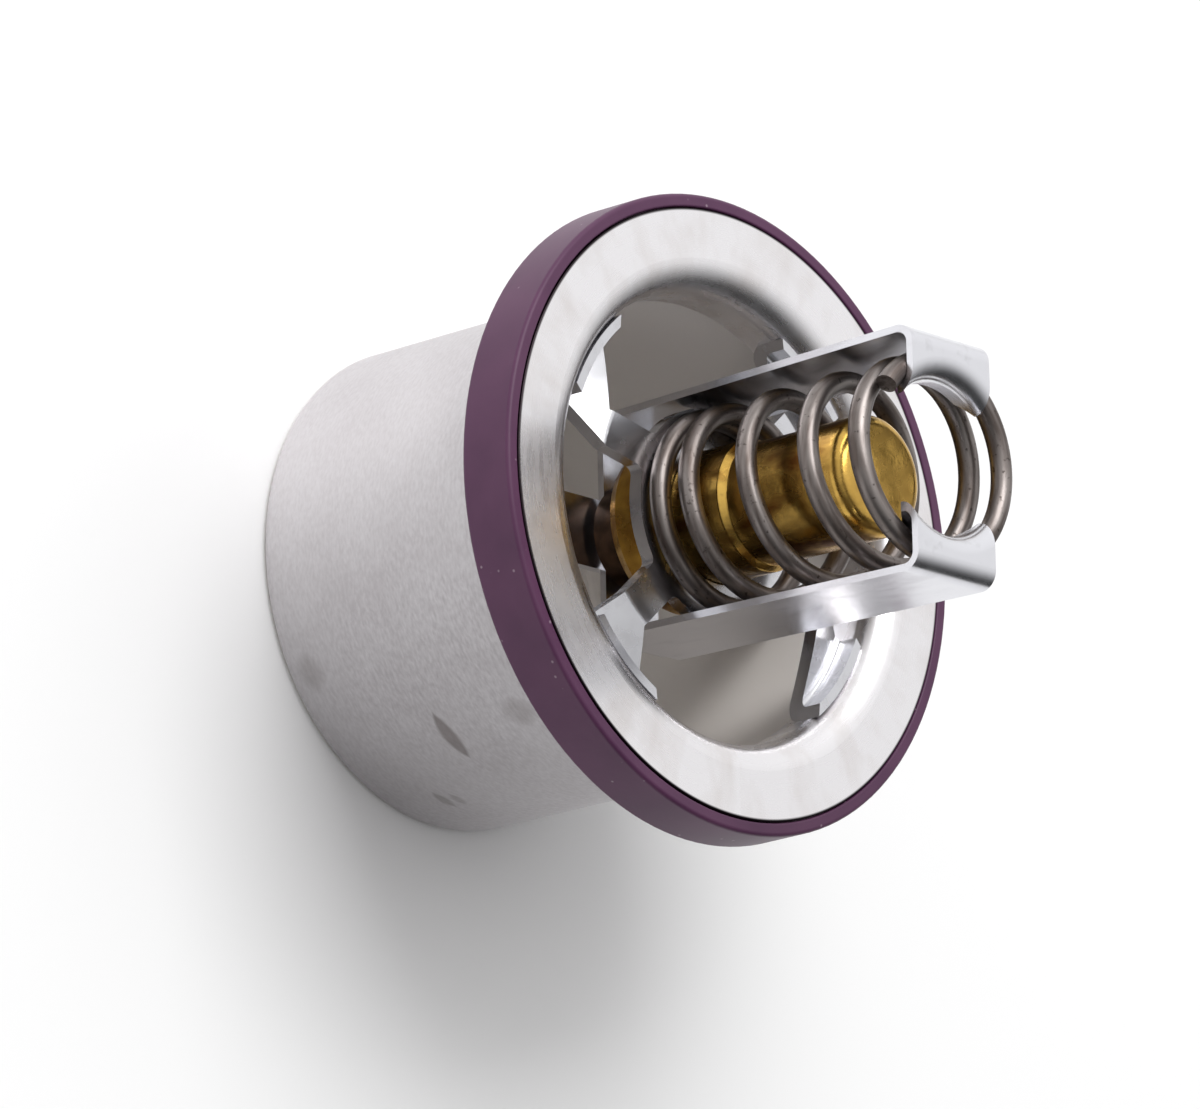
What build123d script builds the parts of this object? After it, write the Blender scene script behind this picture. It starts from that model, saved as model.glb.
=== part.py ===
"""Sleeve-valve engine thermostat, closed, standing on the open end of its sleeve.

Millimetres. +Z is the thermostat's axis and points from the sleeve towards the spring hooks,
the origin is the centre of the sleeve's lower end, and the two arms of the stirrup lie on +X and -X.
Wax in the brass capsule expands when hot and drives the piston down. The piston takes the
stirrup and the sleeve with it, away from the flange, and the hooks of the stirrup squeeze the spring.
"""
from build123d import *
from math import cos, hypot, pi, radians, sin
import os

os.makedirs("parts", exist_ok=True)

# Flange and rubber seal
flange_face_height = 55.6
flange_face_width = 6.9
flange_sheet = 1.0
throat_radius = 30.9
throat_roll_radius = 4.2
throat_depth = 8.4
seal_rim_wall = 1.85
seal_bore_gap = 0.3
seal_depth = 8.4
seal_rim_gap = 0.15
seal_edge_radius = 0.6

# Sleeve valve
sleeve_throat_gap = 1.0
sleeve_wall = 0.8
sleeve_top_drop = 2.4
sleeve_lip_reach = 2.2
sleeve_corner_radius = 1.5

# Spider that carries the capsule and seats the spring
spider_sheet = 2.0
spider_seat_drop = 3.1
spider_seat_edge = 0.1
spider_ring_overhang = 0.4
spider_bore_gap = 0.15
spider_root_turns = (59.4, 134.7)
spider_turns = (68.1, 133.4)
spider_foot_turns = (49.0, 141.6)
spider_root_sink = 2.7
spider_arm_half_width = 2.7
spider_crease_radius = 22.7
spider_root_fillet = 1.2
spider_foot_half_angle = 14.5
spider_foot_drop = 8.4
spider_tab_height = 6.2
spider_tab_sheet = 1.3
spider_bend_radius = 1.5

# Wax capsule and its guide
cup_radius = 8.35
cup_height = 31.6
cup_wall = 0.9
cup_shoulder_radius = 2.0
cup_foot_radius = 9.1
cup_foot_height = 10.4
cup_step_height = 0.9
guide_radius = 12.0
guide_height = 7.0
guide_nose_radius = 11.2
guide_nose_height = 1.6
guide_spigot_height = 6.0
guide_spigot_gap = 0.05
diaphragm_height = 9.0
diaphragm_pocket_height = 6.2
diaphragm_gap = 0.3
piston_radius = 2.5
piston_fit = 0.03
piston_end_gap = 1.6

# Stirrup with its two hooks
stirrup_sheet = 1.0
stirrup_foot_gap = 0.1
stirrup_lean = 1.2
stirrup_half_width = 7.8
stirrup_web_half_width = 5.2
stirrup_web_drop = 18.6
stirrup_bend_radius = 2.2
hook_lip_gap = 0.3
hook_lip_offset = 1.0
hook_lip_depth = 4.5
hook_lip_taper = 2.2
hook_bend_radius = 2.6
hook_roll_radius = 2.8
hook_wire_gap = 0.05

# Piston seat, riveted through the stirrup's web and the bridge
seat_radius = 7.4
seat_guide_gap = 0.7
seat_neck_radius = 5.9
seat_neck_height = 2.2
seat_pocket_depth = 3.0
rivet_radius = 2.2
rivet_gap = 0.05
rivet_head_radius = 3.6
rivet_head_height = 1.2

# Bridge that ties the stirrup to the sleeve
bridge_sheet = 1.4
bridge_half_width = 4.85
bridge_tab_height = 8.0
bridge_bend_radius = 2.4

# Spring
wire_radius = 1.45
coil_outside_radius = 14.6
spring_length = 41.0
spring_turns = 5.28
spring_start_turn = -49.4
spring_foot_close = 1.85
spring_head_close = 1.71
spring_steps_per_turn = 24

# Radii and spans that follow from the sizes above
flange_radius = throat_radius + throat_roll_radius + flange_face_width
rebate_radius = flange_radius + seal_rim_gap
seal_radius = rebate_radius + seal_rim_wall
seal_bore_radius = throat_radius + throat_roll_radius + seal_bore_gap
sleeve_bore_radius = throat_radius + flange_sheet + sleeve_throat_gap
sleeve_radius = sleeve_bore_radius + sleeve_wall
coil_radius = coil_outside_radius - wire_radius
spider_seat_radius = coil_outside_radius - spider_seat_edge
spider_ring_radius = coil_outside_radius + spider_ring_overhang
spider_root_radius = spider_ring_radius - spider_root_sink
stirrup_foot_half_span = spider_seat_radius + stirrup_foot_gap + stirrup_sheet
stirrup_top_half_span = stirrup_foot_half_span + stirrup_lean
hook_inside_radius = coil_radius - wire_radius - hook_lip_gap + hook_lip_offset
hook_lip_radius = hook_inside_radius - stirrup_sheet

# Heights that follow from the sizes above
flange_back = flange_face_height - flange_sheet
seat_top = flange_face_height - spider_seat_drop
seat_bottom = seat_top - spider_sheet
foot_height = flange_face_height - spider_foot_drop
guide_bottom = seat_bottom - guide_height
web_top = flange_face_height - stirrup_web_drop
web_bottom = web_top - stirrup_sheet
bridge_bottom = web_bottom - bridge_sheet
neck_top = guide_bottom - seat_guide_gap
neck_bottom = neck_top - seat_neck_height
piston_bottom = neck_top - seat_pocket_depth
spigot_top = seat_bottom + guide_spigot_height
diaphragm_top = spigot_top + diaphragm_height
pocket_top = spigot_top + diaphragm_pocket_height
piston_top = pocket_top - piston_end_gap
cup_top = seat_bottom + cup_height
spring_top = seat_top + spring_length
hook_under = spring_top + hook_wire_gap
hook_top = hook_under + stirrup_sheet
sleeve_top = flange_face_height - sleeve_top_drop

# Flange: a flat ring whose inner edge rolls down into the throat
with BuildPart() as flange:
    with BuildSketch(Plane.XZ):
        with BuildLine():
            roll_centre_radius = throat_radius + throat_roll_radius
            roll_centre_height = flange_face_height - throat_roll_radius
            throat_bottom = flange_face_height - throat_depth
            throat_outside = throat_radius + flange_sheet
            under_roll_radius = throat_roll_radius - flange_sheet
            Line((flange_radius, flange_back), (flange_radius, flange_face_height))
            Line((flange_radius, flange_face_height), (roll_centre_radius, flange_face_height))
            CenterArc((roll_centre_radius, roll_centre_height), throat_roll_radius, 90, 90)
            Line((throat_radius, roll_centre_height), (throat_radius, throat_bottom))
            Line((throat_radius, throat_bottom), (throat_outside, throat_bottom))
            Line((throat_outside, throat_bottom), (throat_outside, roll_centre_height))
            CenterArc((roll_centre_radius, roll_centre_height), under_roll_radius, 90, 90)
            Line((roll_centre_radius, flange_back), (flange_radius, flange_back))
        make_face()
    revolve(axis=Axis.Z)
    rim_edges = flange.edges().filter_by(GeomType.CIRCLE).filter_by(
        lambda e: abs(e.radius - flange_radius) < flange_sheet / 10
    )
    fillet(rim_edges, flange_sheet / 4)
flange.part.label = "flange"
export_step(flange.part, "parts/flange.step")

# Seal: moulded ring with a rebate that the flange lies in
with BuildPart() as rim_seal:
    with BuildSketch(Plane.XZ):
        with BuildLine():
            seal_bottom = flange_face_height - seal_depth
            FilletPolyline(
                (seal_bore_radius, seal_bottom),
                (seal_radius, seal_bottom),
                (seal_radius, flange_face_height),
                (rebate_radius, flange_face_height),
                (rebate_radius, flange_back),
                (seal_bore_radius, flange_back),
                radius=[seal_edge_radius, seal_edge_radius, seal_edge_radius, seal_edge_radius / 2, 0, 0],
                close=True,
            )
        make_face()
    revolve(axis=Axis.Z)
rim_seal.part.label = "rim_seal"
export_step(rim_seal.part, "parts/rim_seal.step")

# Sleeve: thin tube, its far end turned in to a narrow lip
with BuildPart() as sleeve:
    with BuildSketch(Plane.XZ):
        with BuildLine():
            FilletPolyline(
                (sleeve_radius - sleeve_lip_reach, 0),
                (sleeve_radius, 0),
                (sleeve_radius, sleeve_top),
                (sleeve_bore_radius, sleeve_top),
                (sleeve_bore_radius, sleeve_wall),
                (sleeve_radius - sleeve_lip_reach, sleeve_wall),
                radius=[0, sleeve_corner_radius, 0, 0, sleeve_corner_radius - sleeve_wall, 0],
                close=True,
            )
        make_face()
    revolve(axis=Axis.Z)
sleeve.part.label = "sleeve"
export_step(sleeve.part, "parts/sleeve.step")



def polar_point(radius, turn):
    return Vector(radius * cos(radians(turn)), radius * sin(radians(turn)))


# Spider: dished sheet cut to a ring and four arms, each with a foot turned up inside the throat
foot_slope = (seat_bottom - foot_height) / (throat_radius - spider_crease_radius)
slope_length = hypot(1, foot_slope)
under_crease_radius = spider_crease_radius - spider_sheet * (slope_length - 1) / foot_slope
tab_inside = throat_radius - spider_tab_sheet
foot_slope = (seat_bottom - foot_height) / (throat_radius - under_crease_radius)
tab_floor = seat_top - foot_slope * (tab_inside - spider_crease_radius)
with BuildPart() as spider:
    with BuildSketch(Plane.XZ):
        with BuildLine():
            FilletPolyline(
                (0, seat_bottom),
                (under_crease_radius, seat_bottom),
                (throat_radius, foot_height),
                (throat_radius, foot_height + spider_tab_height),
                (tab_inside, foot_height + spider_tab_height),
                (tab_inside, tab_floor),
                (spider_crease_radius, seat_top),
                (0, seat_top),
                radius=[
                    0,
                    spider_bend_radius,
                    spider_bend_radius,
                    0,
                    0,
                    spider_bend_radius / 2,
                    spider_bend_radius,
                    0,
                ],
                close=True,
            )
        make_face()
    revolve(axis=Axis.Z)
    with BuildSketch(Plane.XY.offset(foot_height - spider_sheet)) as spider_plan:
        Circle(spider_ring_radius)
        Rectangle(2 * spider_seat_radius, 2 * spider_ring_radius, mode=Mode.INTERSECT)
        for root_turn, turn, foot_turn in zip(spider_root_turns, spider_turns, spider_foot_turns):
            for half_turn in (0, 180):
                root = polar_point(spider_root_radius, root_turn + half_turn)
                crease = polar_point(spider_crease_radius, turn + half_turn)
                arm = (crease - root).normalized()
                side = Vector(-arm.Y, arm.X) * spider_arm_half_width
                feet = []
                for edge_angle in (-spider_foot_half_angle, spider_foot_half_angle):
                    foot_edge_turn = foot_turn + half_turn + edge_angle
                    feet.append(polar_point(throat_radius + spider_sheet, foot_edge_turn))
                with BuildLine():
                    Polyline(
                        root - side,
                        crease - side,
                        feet[0],
                        feet[1],
                        crease + side,
                        root + side,
                        close=True,
                    )
                make_face()
        roots = spider_plan.vertices().filter_by(
            lambda v: hypot(v.X, v.Y) < spider_ring_radius + spider_root_fillet / 10
            and abs(v.X) < spider_seat_radius - spider_root_fillet
        )
        fillet(roots, spider_root_fillet)
        Circle(cup_foot_radius + spider_bore_gap, mode=Mode.SUBTRACT)
    extrude(amount=flange_face_height, mode=Mode.INTERSECT)
spider.part.label = "spider"
export_step(spider.part, "parts/spider.step")

# Brass guide under the spider, with a spigot inside the capsule and the piston's bore
spigot_radius = cup_foot_radius - cup_wall - guide_spigot_gap
with BuildPart() as guide_collar:
    with BuildSketch(Plane.XZ):
        with BuildLine():
            Polyline(
                (piston_radius + piston_fit, guide_bottom),
                (guide_nose_radius, guide_bottom),
                (guide_radius, guide_bottom + guide_nose_height),
                (guide_radius, seat_bottom),
                (spigot_radius, seat_bottom),
                (spigot_radius, spigot_top),
                (piston_radius + piston_fit, spigot_top),
                close=True,
            )
        make_face()
    revolve(axis=Axis.Z)
guide_collar.part.label = "guide_collar"
export_step(guide_collar.part, "parts/guide_collar.step")

# Brass capsule: drawn cup with a stepped foot
step_bottom = seat_bottom + cup_foot_height
step_top = step_bottom + cup_step_height
with BuildPart() as wax_cup:
    with BuildSketch(Plane.XZ):
        with BuildLine():
            FilletPolyline(
                (cup_foot_radius - cup_wall, seat_bottom),
                (cup_foot_radius, seat_bottom),
                (cup_foot_radius, step_bottom),
                (cup_radius, step_top),
                (cup_radius, cup_top),
                (0, cup_top),
                (0, cup_top - cup_wall),
                (cup_radius - cup_wall, cup_top - cup_wall),
                (cup_radius - cup_wall, step_top),
                (cup_foot_radius - cup_wall, step_bottom),
                radius=[
                    0,
                    0,
                    cup_step_height / 2,
                    cup_step_height / 2,
                    cup_shoulder_radius,
                    0,
                    0,
                    cup_shoulder_radius - cup_wall,
                    0,
                    0,
                ],
                close=True,
            )
        make_face()
    revolve(axis=Axis.Z)
wax_cup.part.label = "wax_cup"
export_step(wax_cup.part, "parts/wax_cup.step")

# Rubber diaphragm over the piston's end
inside_radius = cup_radius - cup_wall
pocket_radius = piston_radius + diaphragm_gap
with BuildPart() as diaphragm:
    with BuildSketch(Plane.XZ):
        with BuildLine():
            Polyline(
                (pocket_radius, spigot_top),
                (inside_radius, spigot_top),
                (inside_radius, diaphragm_top),
                (0, diaphragm_top),
                (0, pocket_top),
                (pocket_radius, pocket_top),
                close=True,
            )
        make_face()
    revolve(axis=Axis.Z)
diaphragm.part.label = "diaphragm"
export_step(diaphragm.part, "parts/diaphragm.step")

# Wax charge between the diaphragm and the end of the capsule
with BuildPart() as wax_pellet:
    with BuildSketch(Plane.XY.offset(diaphragm_top)):
        Circle(inside_radius)
    extrude(amount=cup_top - cup_wall - diaphragm_top)
    fillet(wax_pellet.edges().group_by(Axis.Z)[-1], cup_shoulder_radius - cup_wall)
wax_pellet.part.label = "wax_pellet"
export_step(wax_pellet.part, "parts/wax_pellet.step")

# Piston
with BuildPart() as piston:
    with BuildSketch(Plane.XY.offset(piston_bottom)):
        Circle(piston_radius)
    extrude(amount=piston_top - piston_bottom)
    chamfer(piston.edges().group_by(Axis.Z)[-1], piston_radius / 6)
piston.part.label = "piston"
export_step(piston.part, "parts/piston.step")

# Piston seat: turned, its stem riveted over under the bridge
with BuildPart() as piston_seat:
    with BuildSketch(Plane.XZ):
        with BuildLine():
            stem_radius = rivet_radius - rivet_gap
            FilletPolyline(
                (0, bridge_bottom - rivet_head_height),
                (rivet_head_radius, bridge_bottom - rivet_head_height),
                (rivet_head_radius, bridge_bottom),
                (stem_radius, bridge_bottom),
                (stem_radius, web_top),
                (seat_radius, web_top),
                (seat_radius, neck_bottom),
                (seat_neck_radius, neck_top),
                (piston_radius + piston_fit, neck_top),
                (piston_radius + piston_fit, piston_bottom),
                (0, piston_bottom),
                radius=[0, rivet_head_height * 2 / 3, 0, 0, 0, 0, 0, 0, 0, 0, 0],
                close=True,
            )
        make_face()
    revolve(axis=Axis.Z)
piston_seat.part.label = "piston_seat"
export_step(piston_seat.part, "parts/piston_seat.step")

# Bridge: strip across the sleeve, its ends turned down against the sleeve's wall
with BuildPart() as bridge:
    with BuildSketch(Plane.XZ):
        with BuildLine():
            skirt_bottom = web_bottom - bridge_tab_height
            skirt_inside = sleeve_bore_radius - bridge_sheet
            FilletPolyline(
                (0, bridge_bottom),
                (skirt_inside, bridge_bottom),
                (skirt_inside, skirt_bottom),
                (sleeve_bore_radius, skirt_bottom),
                (sleeve_bore_radius, web_bottom),
                (0, web_bottom),
                radius=[0, bridge_bend_radius - bridge_sheet, 0, 0, bridge_bend_radius, 0],
                close=True,
            )
        make_face()
    revolve(axis=Axis.Z)
    with BuildSketch(Plane.XY.offset(skirt_bottom)):
        Rectangle(2 * bridge_half_width, 2 * sleeve_radius)
        Circle(rivet_radius, mode=Mode.SUBTRACT)
    extrude(amount=bridge_tab_height, mode=Mode.INTERSECT)
bridge.part.label = "bridge"
export_step(bridge.part, "parts/bridge.step")

# Stirrup: web, two arms and two hooks, folded from one strip
inner_foot_half_span = stirrup_foot_half_span - stirrup_sheet
inner_top_half_span = stirrup_top_half_span - stirrup_sheet
inner_bend_radius = stirrup_bend_radius - stirrup_sheet
inner_hook_radius = hook_bend_radius - stirrup_sheet
inner_roll_radius = wire_radius - hook_wire_gap
with BuildPart() as stirrup:
    with BuildSketch(Plane.XZ):
        with BuildLine():
            FilletPolyline(
                (-stirrup_foot_half_span, web_bottom),
                (stirrup_foot_half_span, web_bottom),
                (stirrup_top_half_span, hook_top),
                (-stirrup_top_half_span, hook_top),
                radius=[stirrup_bend_radius, stirrup_bend_radius, hook_bend_radius, hook_bend_radius],
                close=True,
            )
        make_face()
    extrude(amount=stirrup_half_width, both=True)
    with BuildSketch(Plane.XZ):
        with BuildLine():
            FilletPolyline(
                (-inner_foot_half_span, web_top),
                (inner_foot_half_span, web_top),
                (inner_top_half_span, hook_under),
                (-inner_top_half_span, hook_under),
                radius=[inner_bend_radius, inner_bend_radius, inner_hook_radius, inner_hook_radius],
                close=True,
            )
        make_face()
    extrude(amount=2 * stirrup_half_width, both=True, mode=Mode.SUBTRACT)
    # lips of the two hooks, concentric with the end coil but for a small offset
    with BuildSketch(Plane.XY.offset(hook_top - hook_lip_depth)):
        with BuildSketch(mode=Mode.PRIVATE) as lip_outside:
            with Locations((-hook_lip_offset, 0)):
                Circle(hook_inside_radius)
            with Locations((hook_lip_offset, 0)):
                Circle(hook_inside_radius, mode=Mode.INTERSECT)
            Rectangle(2 * stirrup_top_half_span, 2 * stirrup_half_width, mode=Mode.INTERSECT)
        add(lip_outside.sketch)
    extrude(amount=hook_lip_depth)
    with BuildSketch(Plane.XY.offset(hook_top)) as hook_mouth:
        with Locations((-hook_lip_offset, 0)):
            Circle(hook_lip_radius)
        with Locations((hook_lip_offset, 0)):
            Circle(hook_lip_radius, mode=Mode.INTERSECT)
    extrude(amount=-2 * hook_lip_depth, mode=Mode.SUBTRACT)
    lip_edges = stirrup.edges().filter_by(GeomType.CIRCLE).filter_by(
        lambda e: abs(e.radius - hook_lip_radius) < stirrup_sheet / 10
    )
    fillet(lip_edges.group_by(Axis.Z)[-1], hook_roll_radius)
    under_edges = stirrup.edges().filter_by(GeomType.CIRCLE).filter_by(
        lambda e: abs(e.radius - hook_inside_radius) < stirrup_sheet / 10
    )
    fillet(under_edges.group_by(Axis.Z)[-1], inner_roll_radius)
    # ends of the lips, drawn in towards their lower edge
    with BuildSketch(Plane.YZ):
        with BuildLine():
            lip_bottom = hook_top - hook_lip_depth
            Polyline(
                (stirrup_half_width, hook_top - hook_roll_radius),
                (stirrup_half_width, lip_bottom),
                (stirrup_half_width - hook_lip_taper, lip_bottom),
                close=True,
            )
        make_face()
        mirror(about=Plane.YZ)
    extrude(amount=hook_inside_radius, both=True, mode=Mode.SUBTRACT)
    # lower corners, rounded into the narrower web
    with BuildSketch(Plane.YZ):
        corner_radius = stirrup_half_width - stirrup_web_half_width
        with Locations((0, web_bottom + stirrup_bend_radius)):
            Rectangle(2 * stirrup_half_width, hook_top, align=(Align.CENTER, Align.MIN))
        with Locations((0, web_bottom)):
            Rectangle(2 * stirrup_web_half_width, hook_top, align=(Align.CENTER, Align.MIN))
    extrude(amount=2 * stirrup_top_half_span, both=True, mode=Mode.INTERSECT)
    with BuildSketch(Plane.XY.offset(web_top)):
        Circle(rivet_radius)
    extrude(amount=-2 * stirrup_sheet, mode=Mode.SUBTRACT)
stirrup.part.label = "stirrup"
export_step(stirrup.part, "parts/stirrup.step")

# Spring: closed end coils, with an open pitch between them
coil_rise = spring_length - 2 * wire_radius
open_pitch = coil_rise / (spring_turns - (spring_foot_close + spring_head_close) / 2)


def coil_climb(turns, close):
    """Climb of the wire's centre, this many turns from an end that closes over so many turns."""
    if turns < close:
        return open_pitch * turns * turns / (2 * close)
    return open_pitch * (turns - close / 2)


wire_points = []
step_count = round(spring_turns * spring_steps_per_turn)
for step in range(step_count + 1):
    turns = spring_turns * step / step_count
    if turns < spring_turns / 2:
        climb = coil_climb(turns, spring_foot_close)
    else:
        climb = coil_rise - coil_climb(spring_turns - turns, spring_head_close)
    turn_angle = radians(spring_start_turn + 360 * turns)
    wire_points.append(
        (
            coil_radius * cos(turn_angle),
            coil_radius * sin(turn_angle),
            seat_top + wire_radius + climb,
        )
    )
with BuildPart() as return_spring:
    with BuildLine() as wire_path:
        Spline(*wire_points)
    with BuildSketch(Plane(origin=wire_path.line @ 0, z_dir=wire_path.line % 0)):
        Circle(wire_radius)
    sweep(is_frenet=True)
return_spring.part.label = "return_spring"
export_step(return_spring.part, "parts/return_spring.step")
wire_length = sum(edge.length for edge in wire_path.edges())
plain_volume = pi * wire_radius**2 * wire_length
print("spring volume over section times length", return_spring.part.volume / plain_volume)
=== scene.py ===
# Sleeve-valve engine thermostat: finishes, studio and camera over the fixed frame
import bpy
from math import radians
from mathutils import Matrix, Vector


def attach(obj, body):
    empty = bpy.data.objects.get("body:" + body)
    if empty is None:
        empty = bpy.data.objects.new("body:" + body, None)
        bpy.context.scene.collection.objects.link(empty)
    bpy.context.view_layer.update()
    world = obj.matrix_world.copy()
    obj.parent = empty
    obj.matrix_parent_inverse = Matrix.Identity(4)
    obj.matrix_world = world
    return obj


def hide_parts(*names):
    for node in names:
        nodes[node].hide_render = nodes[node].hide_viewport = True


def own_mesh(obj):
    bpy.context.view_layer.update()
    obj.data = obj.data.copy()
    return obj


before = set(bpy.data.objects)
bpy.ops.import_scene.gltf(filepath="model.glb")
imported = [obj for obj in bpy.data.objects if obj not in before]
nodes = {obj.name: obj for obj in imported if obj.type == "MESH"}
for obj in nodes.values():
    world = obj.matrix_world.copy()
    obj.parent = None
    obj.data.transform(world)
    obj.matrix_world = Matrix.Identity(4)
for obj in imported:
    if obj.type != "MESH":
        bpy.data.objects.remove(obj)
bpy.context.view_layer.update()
mm = 0.001
print("frame loaded")

bpy.ops.object.select_all(action="DESELECT")

# Shared by the finishes
noiseReach = (0.3, 0.7)  # most of a noise's values lie between these
bumpStrength = 0.5


# Colours are written as sRGB hex values and turned to linear here
def hexColour(text):
    channels = [int(text[i:i + 2], 16) / 255 for i in (1, 3, 5)]
    linear = [c / 12.92 if c <= 0.04045 else ((c + 0.055) / 1.055) ** 2.4 for c in channels]
    return (*linear, 1.0)


# Adds one shader node. An input is a value, or another node's output to link.
# Map Range takes 0 the value, 1 and 2 what it runs from, 3 and 4 what it runs to.
# Mix takes 0 the share, 6 and 7 the two colours, and gives the mixed colour as output 2.
def addNode(tree, kind, inputs=None, **settings):
    node = tree.nodes.new("ShaderNode" + kind)
    for name, value in settings.items():
        setattr(node, name, value)
    for name, value in (inputs or {}).items():
        if isinstance(value, bpy.types.NodeSocket):
            tree.links.new(value, node.inputs[name])
        else:
            node.inputs[name].default_value = value
    return node


def newMaterial(name):
    material = bpy.data.materials.new(name)
    material.use_nodes = True
    material.node_tree.nodes.clear()
    return material


def finishMaterial(material, inputs):
    surface = addNode(material.node_tree, "BsdfPrincipled", inputs)
    addNode(material.node_tree, "OutputMaterial", {"Surface": surface.outputs[0]})
    return material


def dress(node, material):
    piece = nodes[node]
    piece.data.materials.clear()
    piece.data.materials.append(material)


# Place on the piece, and the same place unrolled round the part's axis, in metres:
# along the wall, up the axis, out from the axis
def unrollPlace(tree, radius):
    place = addNode(tree, "TexCoord").outputs["Object"]
    parts = addNode(tree, "SeparateXYZ", {0: place}).outputs
    turn = addNode(tree, "Math", {0: parts[1], 1: parts[0]}, operation="ARCTAN2").outputs[0]
    along = addNode(tree, "Math", {0: turn, 1: radius}, operation="MULTIPLY").outputs[0]
    flat = addNode(tree, "CombineXYZ", {0: parts[0], 1: parts[1]}).outputs[0]
    out = addNode(tree, "VectorMath", {0: flat}, operation="LENGTH").outputs["Value"]
    wall = addNode(tree, "CombineXYZ", {0: along, 1: parts[2], 2: out}).outputs[0]
    return place, wall


# A vector that turns metres into counts of spots of this size
def perSpot(size):
    return [1 / length for length in size]


# Sleeve: mild steel, deep drawn. A satin grain runs round the wall and smears reflections up and down it.
# Inside, the grey phosphate skin that the steel was drawn with is still on it, and takes the shine off; its
# colour is painted paler to stand in for the light that the floor shuts out
sleeveFinish = {
    "radius": 33.7 * mm,
    "base": "#d6d3d5",
    "dull": "#c9c5c7",
    "dulled": (0.7, 1.3),  # clouds and grain together where the dull tone starts, and where it is full
    "cloudSize": 18 * mm,
    "cloudDetail": 3.0,
    "grain": (0.9 * mm, 0.4 * mm, 1 * mm),  # finer on the real wall, drawn as coarse as it needs to show
    "grainDetail": 2.0,
    "grainDepth": 0.003 * mm,
    "roughness": (0.41, 0.49),
    "brushing": 0.88,
    "brushingTurn": 0.25,  # of a full turn, which lays the smear across the grain
    "insideFrom": (32.9 * mm, 33.3 * mm),  # out from the axis: all skin, and all bare steel
    "skinWithPaintedLight": "#f0ebe6",  # painted light: paler than the real skin, standing in for the light that the floor shuts out at the sleeve's end
    "insideRoughness": 0.6,
    "insideMetal": 0.35,
    "markColour": "#8a8280",
    "markRim": 0.2,  # a mark runs on past its edge by this share of its blur
    # rubbed marks: degrees round the axis, height, half length round the wall, half width, blur, strength
    "marks": (
        (145.3, 20.9 * mm, 4.6 * mm, 1.3 * mm, 0.4 * mm, 0.7),
        (143.2, 34.5 * mm, 2.9 * mm, 3.1 * mm, 2.2 * mm, 0.32),
        (165.4, 9.4 * mm, 2.6 * mm, 0.9 * mm, 0.4 * mm, 0.45),
        (166.4, 11.4 * mm, 2.0 * mm, 0.8 * mm, 0.4 * mm, 0.35),
        (121.0, 4.4 * mm, 3.2 * mm, 2.6 * mm, 1.8 * mm, 0.3),
    ),
}


# One rubbed mark, pointed at both ends: its strength inside, 0 outside
def rubbedMark(tree, wall, mark):
    turn, height, halfLength, halfWidth, blur, strength = mark
    start = radians(turn) * sleeveFinish["radius"]
    rim = -sleeveFinish["markRim"] * blur
    parts = addNode(tree, "SeparateXYZ", {0: wall}).outputs
    along = addNode(tree, "Math", {0: parts[0], 1: start}, operation="SUBTRACT").outputs[0]
    share = addNode(tree, "Math", {0: along, 1: halfLength}, operation="DIVIDE").outputs[0]
    bow = addNode(tree, "Math", {0: share, 1: 2.0}, operation="POWER").outputs[0]
    width = addNode(
        tree,
        "Math",
        {0: -halfWidth, 1: bow, 2: halfWidth},
        operation="MULTIPLY_ADD",
    ).outputs[0]
    rise = addNode(tree, "Math", {0: parts[1], 1: height}, operation="SUBTRACT").outputs[0]
    away = addNode(tree, "Math", {0: rise}, operation="ABSOLUTE").outputs[0]
    inside = addNode(tree, "Math", {0: width, 1: away}, operation="SUBTRACT").outputs[0]
    return addNode(tree, "MapRange", {0: inside, 1: rim, 2: blur, 3: 0.0, 4: strength}).outputs[0]


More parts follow.
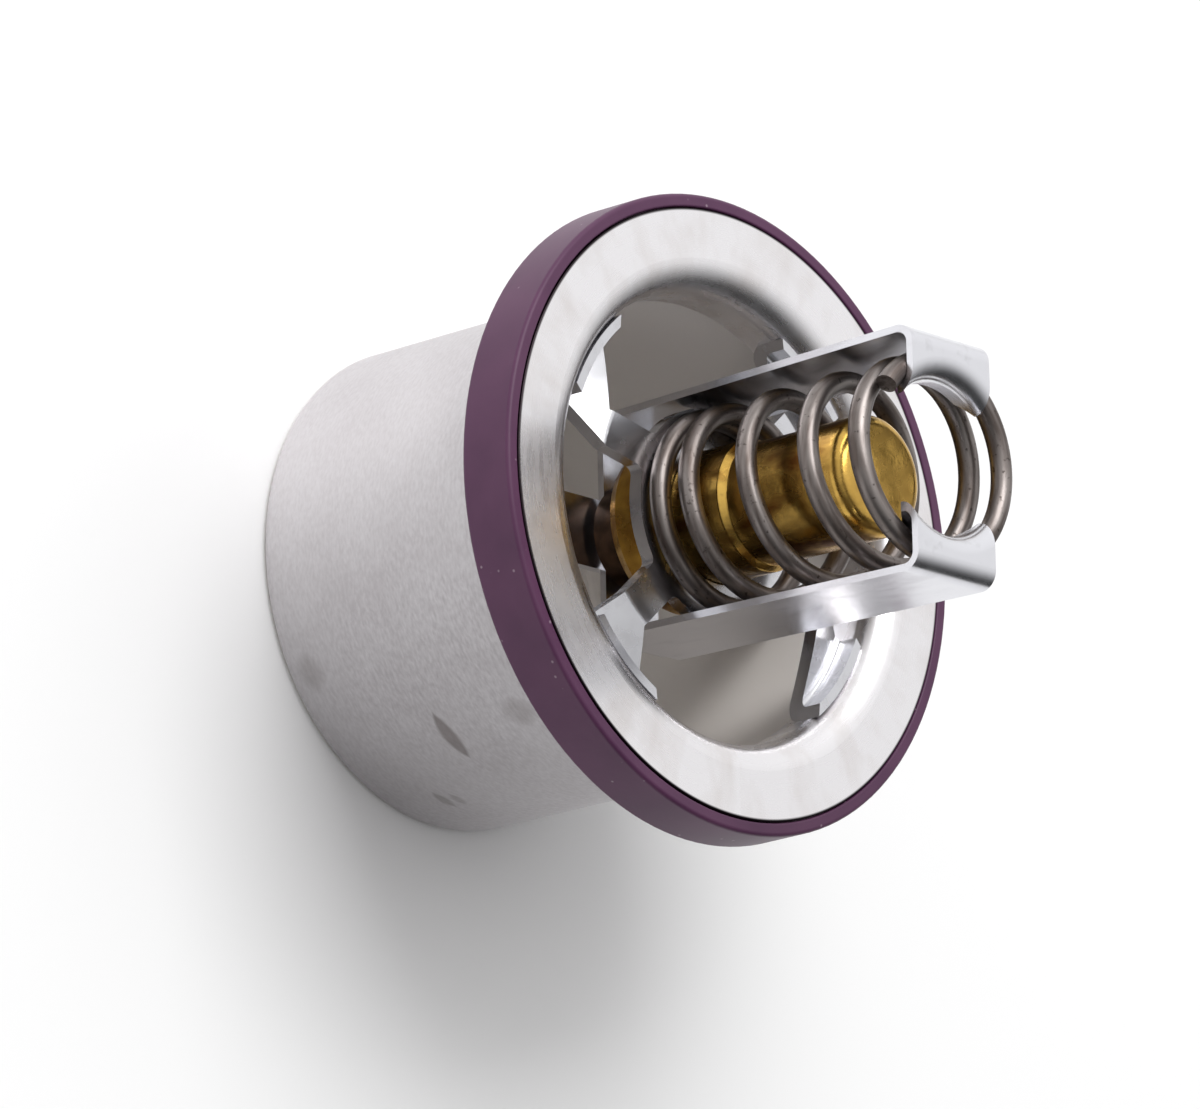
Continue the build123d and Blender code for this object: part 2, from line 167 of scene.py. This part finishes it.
def drawnSteel():
    finish = sleeveFinish
    low, high = noiseReach
    dullStart, dullFull = finish["dulled"]
    smooth, rough = finish["roughness"]
    skin, bare = finish["insideFrom"]
    material = newMaterial("deep drawn mild steel")
    tree = material.node_tree
    place, wall = unrollPlace(tree, finish["radius"])
    clouds = addNode(
        tree,
        "TexNoise",
        {"Vector": place, "Scale": 1 / finish["cloudSize"], "Detail": finish["cloudDetail"]},
    )
    lines = addNode(tree, "VectorMath", {0: wall, 1: perSpot(finish["grain"])}, operation="MULTIPLY")
    grain = addNode(
        tree,
        "TexNoise",
        {"Vector": lines.outputs[0], "Scale": 1.0, "Detail": finish["grainDetail"]},
    )
    spots = addNode(tree, "Math", {0: clouds.outputs[0], 1: grain.outputs[0]}, operation="ADD")
    dulled = addNode(tree, "MapRange", {0: spots.outputs[0], 1: dullStart, 2: dullFull, 3: 0.0, 4: 1.0})
    outside = addNode(tree, "MapRange", {0: grain.outputs[0], 1: low, 2: high, 3: smooth, 4: rough})
    out = addNode(tree, "SeparateXYZ", {0: wall}).outputs[2]
    gloss = addNode(
        tree,
        "MapRange",
        {0: out, 1: skin, 2: bare, 3: finish["insideRoughness"], 4: outside.outputs[0]},
    )
    metal = addNode(tree, "MapRange", {0: out, 1: skin, 2: bare, 3: finish["insideMetal"], 4: 1.0})
    tone = addNode(
        tree,
        "Mix",
        {0: dulled.outputs[0], 6: hexColour(finish["base"]), 7: hexColour(finish["dull"])},
        data_type="RGBA",
    )
    for mark in finish["marks"]:
        tone = addNode(
            tree,
            "Mix",
            {0: rubbedMark(tree, wall, mark), 6: tone.outputs[2], 7: hexColour(finish["markColour"])},
            data_type="RGBA",
        )
    # Painted light: the inside wall takes a paler tone than its real grey skin, for the light that the
    # floor keeps out
    inner = addNode(tree, "MapRange", {0: out, 1: skin, 2: bare, 3: 1.0, 4: 0.0})
    tone = addNode(
        tree,
        "Mix",
        {0: inner.outputs[0], 6: tone.outputs[2], 7: hexColour(finish["skinWithPaintedLight"])},
        data_type="RGBA",
    )
    bump = addNode(
        tree,
        "Bump",
        {"Height": grain.outputs[0], "Strength": bumpStrength, "Distance": finish["grainDepth"]},
    )
    return finishMaterial(
        material,
        {
            "Base Color": tone.outputs[2],
            "Metallic": metal.outputs[0],
            "Roughness": gloss.outputs[0],
            "Anisotropic": finish["brushing"],
            "Anisotropic Rotation": finish["brushingTurn"],
            "Normal": bump.outputs[0],
        },
    )


# Flange: stainless sheet, pressed. Satin, with faint marks from the tool that run round the ring, and
# painted shade along the outer edge where it meets the seal
flangeFinish = {
    "radius": 36 * mm,
    "base": "#efedef",
    "dull": "#dfdad9",
    "smear": (5 * mm, 3 * mm, 9 * mm),  # handling smears across the ring
    "smearDetail": 3.0,
    "smeared": (0.45, 0.85),  # noise where smears start, and where they are full
    "scratch": (7 * mm, 3 * mm, 0.8 * mm),
    "scratchDetail": 2.0,
    "scratchDepth": 0.003 * mm,
    "roughness": (0.24, 0.3),
    "gapShade": "#2c2629",  # painted shade of the gap where the edge meets the seal
    "gapShadeFrom": (41.55 * mm, 41.8 * mm),  # out from the axis: none, and all
}


def pressedSheet():
    finish = flangeFinish
    low, high = noiseReach
    smearStart, smearFull = finish["smeared"]
    smooth, rough = finish["roughness"]
    unshaded, shaded = finish["gapShadeFrom"]
    material = newMaterial("pressed stainless sheet")
    tree = material.node_tree
    wall = unrollPlace(tree, finish["radius"])[1]
    across = addNode(tree, "VectorMath", {0: wall, 1: perSpot(finish["smear"])}, operation="MULTIPLY")
    smears = addNode(
        tree,
        "TexNoise",
        {"Vector": across.outputs[0], "Scale": 1.0, "Detail": finish["smearDetail"]},
    )
    dulled = addNode(
        tree,
        "MapRange",
        {0: smears.outputs[0], 1: smearStart, 2: smearFull, 3: 0.0, 4: 1.0},
    )
    lines = addNode(tree, "VectorMath", {0: wall, 1: perSpot(finish["scratch"])}, operation="MULTIPLY")
    scratches = addNode(
        tree,
        "TexNoise",
        {"Vector": lines.outputs[0], "Scale": 1.0, "Detail": finish["scratchDetail"]},
    )
    gloss = addNode(tree, "MapRange", {0: scratches.outputs[0], 1: low, 2: high, 3: smooth, 4: rough})
    tone = addNode(
        tree,
        "Mix",
        {0: dulled.outputs[0], 6: hexColour(finish["base"]), 7: hexColour(finish["dull"])},
        data_type="RGBA",
    )
    # Painted shade: the outer edge is darkened to stand in for the shadow in the gap against the seal
    out = addNode(tree, "SeparateXYZ", {0: wall}).outputs[2]
    edge = addNode(tree, "MapRange", {0: out, 1: unshaded, 2: shaded, 3: 0.0, 4: 1.0})
    tone = addNode(
        tree,
        "Mix",
        {0: edge.outputs[0], 6: tone.outputs[2], 7: hexColour(finish["gapShade"])},
        data_type="RGBA",
    )
    bump = addNode(
        tree,
        "Bump",
        {"Height": scratches.outputs[0], "Strength": bumpStrength, "Distance": finish["scratchDepth"]},
    )
    return finishMaterial(
        material,
        {
            "Base Color": tone.outputs[2],
            "Metallic": 1.0,
            "Roughness": gloss.outputs[0],
            "Normal": bump.outputs[0],
        },
    )


# Stirrup and bridge: bright rolled stainless strip. Spider and piston: the same steel, barrel polished
brightFinish = {
    "strip": {
        "base": "#e3e3e8",
        "scuff": "#bdbcc0",
        "scuffSize": (2.2 * mm, 2.2 * mm, 7 * mm),
        "scuffed": (0.58, 0.78, 0.4),  # noise where scuffs start, where they are full, and their strength
        "roughness": (0.19, 0.27),
    },
    "polished": {
        "base": "#d4d4d8",
        "scuff": "#bbb9bc",
        "scuffSize": (3 * mm, 3 * mm, 3 * mm),
        "scuffed": (0.5, 0.8, 0.5),
        "roughness": (0.2, 0.3),
    },
    "scuffDetail": 4.0,
}


def brightSteel(name, kind):
    finish = brightFinish[kind]
    low, high = noiseReach
    start, full, strength = finish["scuffed"]
    smooth, rough = finish["roughness"]
    material = newMaterial(name)
    tree = material.node_tree
    place = addNode(tree, "TexCoord").outputs["Object"]
    spots = addNode(tree, "VectorMath", {0: place, 1: perSpot(finish["scuffSize"])}, operation="MULTIPLY")
    scuffs = addNode(
        tree,
        "TexNoise",
        {"Vector": spots.outputs[0], "Scale": 1.0, "Detail": brightFinish["scuffDetail"]},
    )
    scuffed = addNode(tree, "MapRange", {0: scuffs.outputs[0], 1: start, 2: full, 3: 0.0, 4: strength})
    gloss = addNode(tree, "MapRange", {0: scuffs.outputs[0], 1: low, 2: high, 3: smooth, 4: rough})
    tone = addNode(
        tree,
        "Mix",
        {0: scuffed.outputs[0], 6: hexColour(finish["base"]), 7: hexColour(finish["scuff"])},
        data_type="RGBA",
    )
    return finishMaterial(
        material,
        {"Base Color": tone.outputs[2], "Metallic": 1.0, "Roughness": gloss.outputs[0]},
    )


# Spring: hard drawn steel wire with a brown skin from its tempering, streaked along the wire by the die
wireFinish = {
    "radius": 13.15 * mm,
    "base": "#8e8784",
    "skin": "#625955",
    "browned": (0.35, 0.62),  # noise where the skin starts, and where it covers all
    "streak": (9 * mm, 1.5 * mm, 0.9 * mm),
    "streakDetail": 4.0,
    "streakDepth": 0.02 * mm,
    "pit": "#38302c",
    "pitSize": 0.8 * mm,
    "pitDetail": 2.0,
    "pitted": (0.64, 0.73, 0.75),  # noise where pits start, where they are full, and their strength
    "roughness": (0.34, 0.48),
}


def drawnWire():
    finish = wireFinish
    low, high = noiseReach
    brownStart, brownFull = finish["browned"]
    pitStart, pitFull, pitStrength = finish["pitted"]
    smooth, rough = finish["roughness"]
    material = newMaterial("hard drawn spring wire")
    tree = material.node_tree
    place, wall = unrollPlace(tree, finish["radius"])
    lines = addNode(tree, "VectorMath", {0: wall, 1: perSpot(finish["streak"])}, operation="MULTIPLY")
    streaks = addNode(
        tree,
        "TexNoise",
        {"Vector": lines.outputs[0], "Scale": 1.0, "Detail": finish["streakDetail"]},
    )
    browned = addNode(
        tree,
        "MapRange",
        {0: streaks.outputs[0], 1: brownStart, 2: brownFull, 3: 0.0, 4: 1.0},
    )
    gloss = addNode(tree, "MapRange", {0: streaks.outputs[0], 1: low, 2: high, 3: smooth, 4: rough})
    pits = addNode(
        tree,
        "TexNoise",
        {"Vector": place, "Scale": 1 / finish["pitSize"], "Detail": finish["pitDetail"]},
    )
    pitted = addNode(
        tree,
        "MapRange",
        {0: pits.outputs[0], 1: pitStart, 2: pitFull, 3: 0.0, 4: pitStrength},
    )
    skin = addNode(
        tree,
        "Mix",
        {0: browned.outputs[0], 6: hexColour(finish["base"]), 7: hexColour(finish["skin"])},
        data_type="RGBA",
    )
    tone = addNode(
        tree,
        "Mix",
        {0: pitted.outputs[0], 6: skin.outputs[2], 7: hexColour(finish["pit"])},
        data_type="RGBA",
    )
    bump = addNode(
        tree,
        "Bump",
        {"Height": streaks.outputs[0], "Strength": bumpStrength, "Distance": finish["streakDepth"]},
    )
    return finishMaterial(
        material,
        {
            "Base Color": tone.outputs[2],
            "Metallic": 1.0,
            "Roughness": gloss.outputs[0],
            "Normal": bump.outputs[0],
        },
    )


# Capsule: drawn brass cup. Its end is bright and dimpled, its wall tarnished brown in patches
capsuleFinish = {
    "base": "#d8b05a",
    "tarnish": "#6d451c",
    "browned": (0.38, 0.66),  # noise where tarnish starts, and where it is full
    "patch": (3.5 * mm, 3.5 * mm, 8 * mm),
    "patchDetail": 4.0,
    "brightAbove": (78.5 * mm, 81.5 * mm),
    "tarnishKept": (1.0, 0.3),  # share of the tarnish below that height, and above it
    "roughness": (0.17, 0.36),
    "dimple": 1.5 * mm,
    "dimpleDetail": 2.0,
    "dimpleDepth": 0.12 * mm,
}


def drawnBrass():
    finish = capsuleFinish
    low, high = noiseReach
    brownStart, brownFull = finish["browned"]
    wallTop, endStart = finish["brightAbove"]
    onWall, onEnd = finish["tarnishKept"]
    smooth, rough = finish["roughness"]
    material = newMaterial("drawn brass")
    tree = material.node_tree
    place = addNode(tree, "TexCoord").outputs["Object"]
    height = addNode(tree, "SeparateXYZ", {0: place}).outputs[2]
    kept = addNode(tree, "MapRange", {0: height, 1: wallTop, 2: endStart, 3: onWall, 4: onEnd})
    spots = addNode(tree, "VectorMath", {0: place, 1: perSpot(finish["patch"])}, operation="MULTIPLY")
    patches = addNode(
        tree,
        "TexNoise",
        {"Vector": spots.outputs[0], "Scale": 1.0, "Detail": finish["patchDetail"]},
    )
    browned = addNode(
        tree,
        "MapRange",
        {0: patches.outputs[0], 1: brownStart, 2: brownFull, 3: 0.0, 4: 1.0},
    )
    gloss = addNode(tree, "MapRange", {0: patches.outputs[0], 1: low, 2: high, 3: smooth, 4: rough})
    worn = addNode(tree, "Math", {0: browned.outputs[0], 1: kept.outputs[0]}, operation="MULTIPLY")
    tone = addNode(
        tree,
        "Mix",
        {0: worn.outputs[0], 6: hexColour(finish["base"]), 7: hexColour(finish["tarnish"])},
        data_type="RGBA",
    )
    dimples = addNode(
        tree,
        "TexNoise",
        {"Vector": place, "Scale": 1 / finish["dimple"], "Detail": finish["dimpleDetail"]},
    )
    bump = addNode(
        tree,
        "Bump",
        {"Height": dimples.outputs[0], "Strength": bumpStrength, "Distance": finish["dimpleDepth"]},
    )
    return finishMaterial(
        material,
        {
            "Base Color": tone.outputs[2],
            "Metallic": 1.0,
            "Roughness": gloss.outputs[0],
            "Normal": bump.outputs[0],
        },
    )


# Guide and piston seat: turned brass. The tool leaves fine rings, and the seat's skin has gone dark
turnedFinish = {
    "guide": {"base": "#cda049", "dark": "#8d6228", "roughness": (0.2, 0.32)},
    "seat": {"base": "#5d4636", "dark": "#33261e", "roughness": (0.34, 0.5)},
    "radius": 12 * mm,
    "patchSize": 4 * mm,
    "patchDetail": 4.0,
    "darkened": (0.35, 0.7),  # noise where the dark tone starts, and where it is full
    "ring": (60 * mm, 0.45 * mm, 0.45 * mm),  # a fine feed, drawn coarser to show
    "ringDetail": 1.0,
    "ringDepth": 0.012 * mm,
}


def turnedBrass(name, kind):
    finish = turnedFinish[kind]
    low, high = noiseReach
    darkStart, darkFull = turnedFinish["darkened"]
    smooth, rough = finish["roughness"]
    material = newMaterial(name)
    tree = material.node_tree
    place, wall = unrollPlace(tree, turnedFinish["radius"])
    patches = addNode(
        tree,
        "TexNoise",
        {
            "Vector": place,
            "Scale": 1 / turnedFinish["patchSize"],
            "Detail": turnedFinish["patchDetail"],
        },
    )
    darkened = addNode(
        tree,
        "MapRange",
        {0: patches.outputs[0], 1: darkStart, 2: darkFull, 3: 0.0, 4: 1.0},
    )
    gloss = addNode(tree, "MapRange", {0: patches.outputs[0], 1: low, 2: high, 3: smooth, 4: rough})
    tone = addNode(
        tree,
        "Mix",
        {0: darkened.outputs[0], 6: hexColour(finish["base"]), 7: hexColour(finish["dark"])},
        data_type="RGBA",
    )
    lines = addNode(tree, "VectorMath", {0: wall, 1: perSpot(turnedFinish["ring"])}, operation="MULTIPLY")
    rings = addNode(
        tree,
        "TexNoise",
        {"Vector": lines.outputs[0], "Scale": 1.0, "Detail": turnedFinish["ringDetail"]},
    )
    bump = addNode(
        tree,
        "Bump",
        {"Height": rings.outputs[0], "Strength": bumpStrength, "Distance": turnedFinish["ringDepth"]},
    )
    return finishMaterial(
        material,
        {
            "Base Color": tone.outputs[2],
            "Metallic": 1.0,
            "Roughness": gloss.outputs[0],
            "Normal": bump.outputs[0],
        },
    )


# Seal: moulded fluorocarbon rubber, aubergine. A soft sheen, and a few pale specks of dust
sealFinish = {
    "base": "#4e2a48",
    "pale": "#583250",
    "mottleSize": 9 * mm,
    "mottleDetail": 3.0,
    "dust": "#a7929f",
    "dustSpacing": 2.8 * mm,
    "dustReach": (0.05, 0.09),  # parts of the spacing where a speck starts to fade, and where it ends
    "dustStrength": 0.55,
    "skinSize": 0.7 * mm,
    "skinDetail": 2.0,
    "skinDepth": 0.01 * mm,
    "skinStrength": 0.4,
    "roughness": 0.42,
    "shine": 0.3,
}


def mouldedRubber():
    finish = sealFinish
    low, high = noiseReach
    fadeStart, fadeEnd = finish["dustReach"]
    material = newMaterial("moulded aubergine rubber")
    tree = material.node_tree
    place = addNode(tree, "TexCoord").outputs["Object"]
    mottle = addNode(
        tree,
        "TexNoise",
        {"Vector": place, "Scale": 1 / finish["mottleSize"], "Detail": finish["mottleDetail"]},
    )
    paled = addNode(tree, "MapRange", {0: mottle.outputs[0], 1: low, 2: high, 3: 0.0, 4: 1.0})
    skinTone = addNode(
        tree,
        "Mix",
        {0: paled.outputs[0], 6: hexColour(finish["base"]), 7: hexColour(finish["pale"])},
        data_type="RGBA",
    )
    grid = addNode(tree, "TexVoronoi", {"Vector": place, "Scale": 1 / finish["dustSpacing"]})
    dusted = addNode(
        tree,
        "MapRange",
        {0: grid.outputs["Distance"], 1: fadeStart, 2: fadeEnd, 3: finish["dustStrength"], 4: 0.0},
    )
    tone = addNode(
        tree,
        "Mix",
        {0: dusted.outputs[0], 6: skinTone.outputs[2], 7: hexColour(finish["dust"])},
        data_type="RGBA",
    )
    skin = addNode(
        tree,
        "TexNoise",
        {"Vector": place, "Scale": 1 / finish["skinSize"], "Detail": finish["skinDetail"]},
    )
    bump = addNode(
        tree,
        "Bump",
        {"Height": skin.outputs[0], "Strength": finish["skinStrength"], "Distance": finish["skinDepth"]},
    )
    return finishMaterial(
        material,
        {
            "Base Color": tone.outputs[2],
            "Roughness": finish["roughness"],
            "Specular IOR Level": finish["shine"],
            "Normal": bump.outputs[0],
        },
    )


# Inside the capsule, and not seen: a black nitrile diaphragm and the amber wax charge
insideFinish = {
    "rubber": {"base": "#1d1c1c", "pale": "#2b2a2a", "roughness": 0.6},
    "wax": {"base": "#b8915c", "pale": "#caa873", "roughness": 0.45},
    "mottleSize": 3 * mm,
    "mottleDetail": 2.0,
}


def insideStuff(name, kind):
    finish = insideFinish[kind]
    low, high = noiseReach
    material = newMaterial(name)
    tree = material.node_tree
    place = addNode(tree, "TexCoord").outputs["Object"]
    mottle = addNode(
        tree,
        "TexNoise",
        {
            "Vector": place,
            "Scale": 1 / insideFinish["mottleSize"],
            "Detail": insideFinish["mottleDetail"],
        },
    )
    paled = addNode(tree, "MapRange", {0: mottle.outputs[0], 1: low, 2: high, 3: 0.0, 4: 1.0})
    tone = addNode(
        tree,
        "Mix",
        {0: paled.outputs[0], 6: hexColour(finish["base"]), 7: hexColour(finish["pale"])},
        data_type="RGBA",
    )
    return finishMaterial(material, {"Base Color": tone.outputs[2], "Roughness": finish["roughness"]})


dress("sleeve", drawnSteel())
dress("flange", pressedSheet())
strip = brightSteel("bright rolled stainless strip", "strip")
dress("stirrup", strip)
dress("bridge", strip)
polished = brightSteel("barrel polished stainless steel", "polished")
dress("spider", polished)
dress("piston", polished)
wire = drawnWire()
dress("return_spring", wire)
dress("wax_cup", drawnBrass())
dress("guide_collar", turnedBrass("turned brass", "guide"))
dress("piston_seat", turnedBrass("turned brass gone dark", "seat"))
dress("rim_seal", mouldedRubber())
dress("diaphragm", insideStuff("moulded nitrile rubber", "rubber"))
dress("wax_pellet", insideStuff("cast wax", "wax"))
print("materials done")


# Spring coil: the wire as a piece of its own, attached to the valve's body. The real coil shortens as the
# valve opens
coilSettings = {
    "joint": "valve_lift",
    "mergeWithin": 0.001 * mm,
    "sharpFrom": 40,  # degrees, so that only the cut ends keep an edge
}


def addCoil():
    coil = bpy.data.objects.new("spring_coil", nodes["return_spring"].data.copy())
    bpy.context.collection.objects.link(coil)
    coil.select_set(True)
    bpy.context.view_layer.objects.active = coil
    bpy.ops.mesh.customdata_custom_splitnormals_clear()
    bpy.ops.object.mode_set(mode="EDIT")
    bpy.ops.mesh.select_all(action="SELECT")
    bpy.ops.mesh.remove_doubles(threshold=coilSettings["mergeWithin"])
    bpy.ops.object.mode_set(mode="OBJECT")
    bpy.ops.object.shade_smooth_by_angle(angle=radians(coilSettings["sharpFrom"]))
    coil.data.materials.clear()
    coil.data.materials.append(wire)
    coil.select_set(False)
    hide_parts("return_spring")
    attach(coil, "valve")
    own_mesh(coil)


addCoil()
print("spring coil done")


# Floor: pale matt board
floorSettings = {"radius": 3.0, "corners": 96, "colour": "#f7f7f7", "roughness": 0.8}


def addFloor():
    bpy.ops.mesh.primitive_circle_add(
        vertices=floorSettings["corners"],
        radius=floorSettings["radius"],
        fill_type="NGON",
    )
    floor = bpy.context.object
    floor.name = "floor"
    floor.data.materials.append(
        finishMaterial(
            newMaterial("white studio board"),
            {"Base Color": hexColour(floorSettings["colour"]), "Roughness": floorSettings["roughness"]},
        )
    )


addFloor()


# Studio: one soft lamp at the side and a room that fades evenly from its light wall to its dark one
studioSettings = {
    "lightWall": (0.85, 0.05, 0.5),  # the direction the room is brightest in
    "fade": (-0.5, 0.7),  # how far a direction points at that wall where the room is darkest, and brightest
    "levels": (0.05, 1.0),
}
lampSettings = {"from": (0.9, 0.3, 1.3), "towards": (0, 0, 0.05), "size": 1.1, "watts": 16}


def addStudio():
    world = bpy.data.worlds.new("studio")
    bpy.context.scene.world = world
    world.use_nodes = True
    tree = world.node_tree
    tree.nodes.clear()
    direction = addNode(tree, "TexCoord").outputs["Generated"]
    wall = Vector(studioSettings["lightWall"]).normalized()
    facing = addNode(tree, "VectorMath", {0: direction, 1: wall}, operation="DOT_PRODUCT")
    low, high = studioSettings["levels"]
    start, end = studioSettings["fade"]
    level = addNode(
        tree,
        "MapRange",
        {0: facing.outputs["Value"], 1: start, 2: end, 3: low, 4: high},
        interpolation_type="SMOOTHSTEP",
    )
    background = addNode(tree, "Background", {"Color": (1, 1, 1, 1), "Strength": level.outputs[0]})
    addNode(tree, "OutputWorld", {"Surface": background.outputs[0]})


def addLamp():
    place = Vector(lampSettings["from"])
    bpy.ops.object.light_add(type="AREA", location=place)
    lamp = bpy.context.object
    lamp.name = "soft lamp"
    lamp.data.size = lampSettings["size"]
    lamp.data.energy = lampSettings["watts"]
    lamp.rotation_euler = (place - Vector(lampSettings["towards"])).to_track_quat("Z", "Y").to_euler()


addStudio()
addLamp()
print("studio done")


# Camera: long lens, turned so that the part's axis lies across the picture as it was photographed
cameraSettings = {
    "place": (-0.324969, 0.876074, 0.830314),
    "turn": (16.608, -47.2877, -91.7911),  # degrees
    "lens": 271.71,
    "sensor": 36,
    "sees": (0.01, 20),  # nearest and farthest, in metres
}


def addCamera():
    bpy.ops.object.camera_add(
        location=cameraSettings["place"],
        rotation=[radians(angle) for angle in cameraSettings["turn"]],
    )
    camera = bpy.context.object
    camera.data.lens = cameraSettings["lens"]
    camera.data.sensor_width = cameraSettings["sensor"]
    camera.data.clip_start, camera.data.clip_end = cameraSettings["sees"]
    bpy.context.scene.camera = camera


addCamera()
bpy.context.scene.view_settings.view_transform = "Standard"
print("camera done")
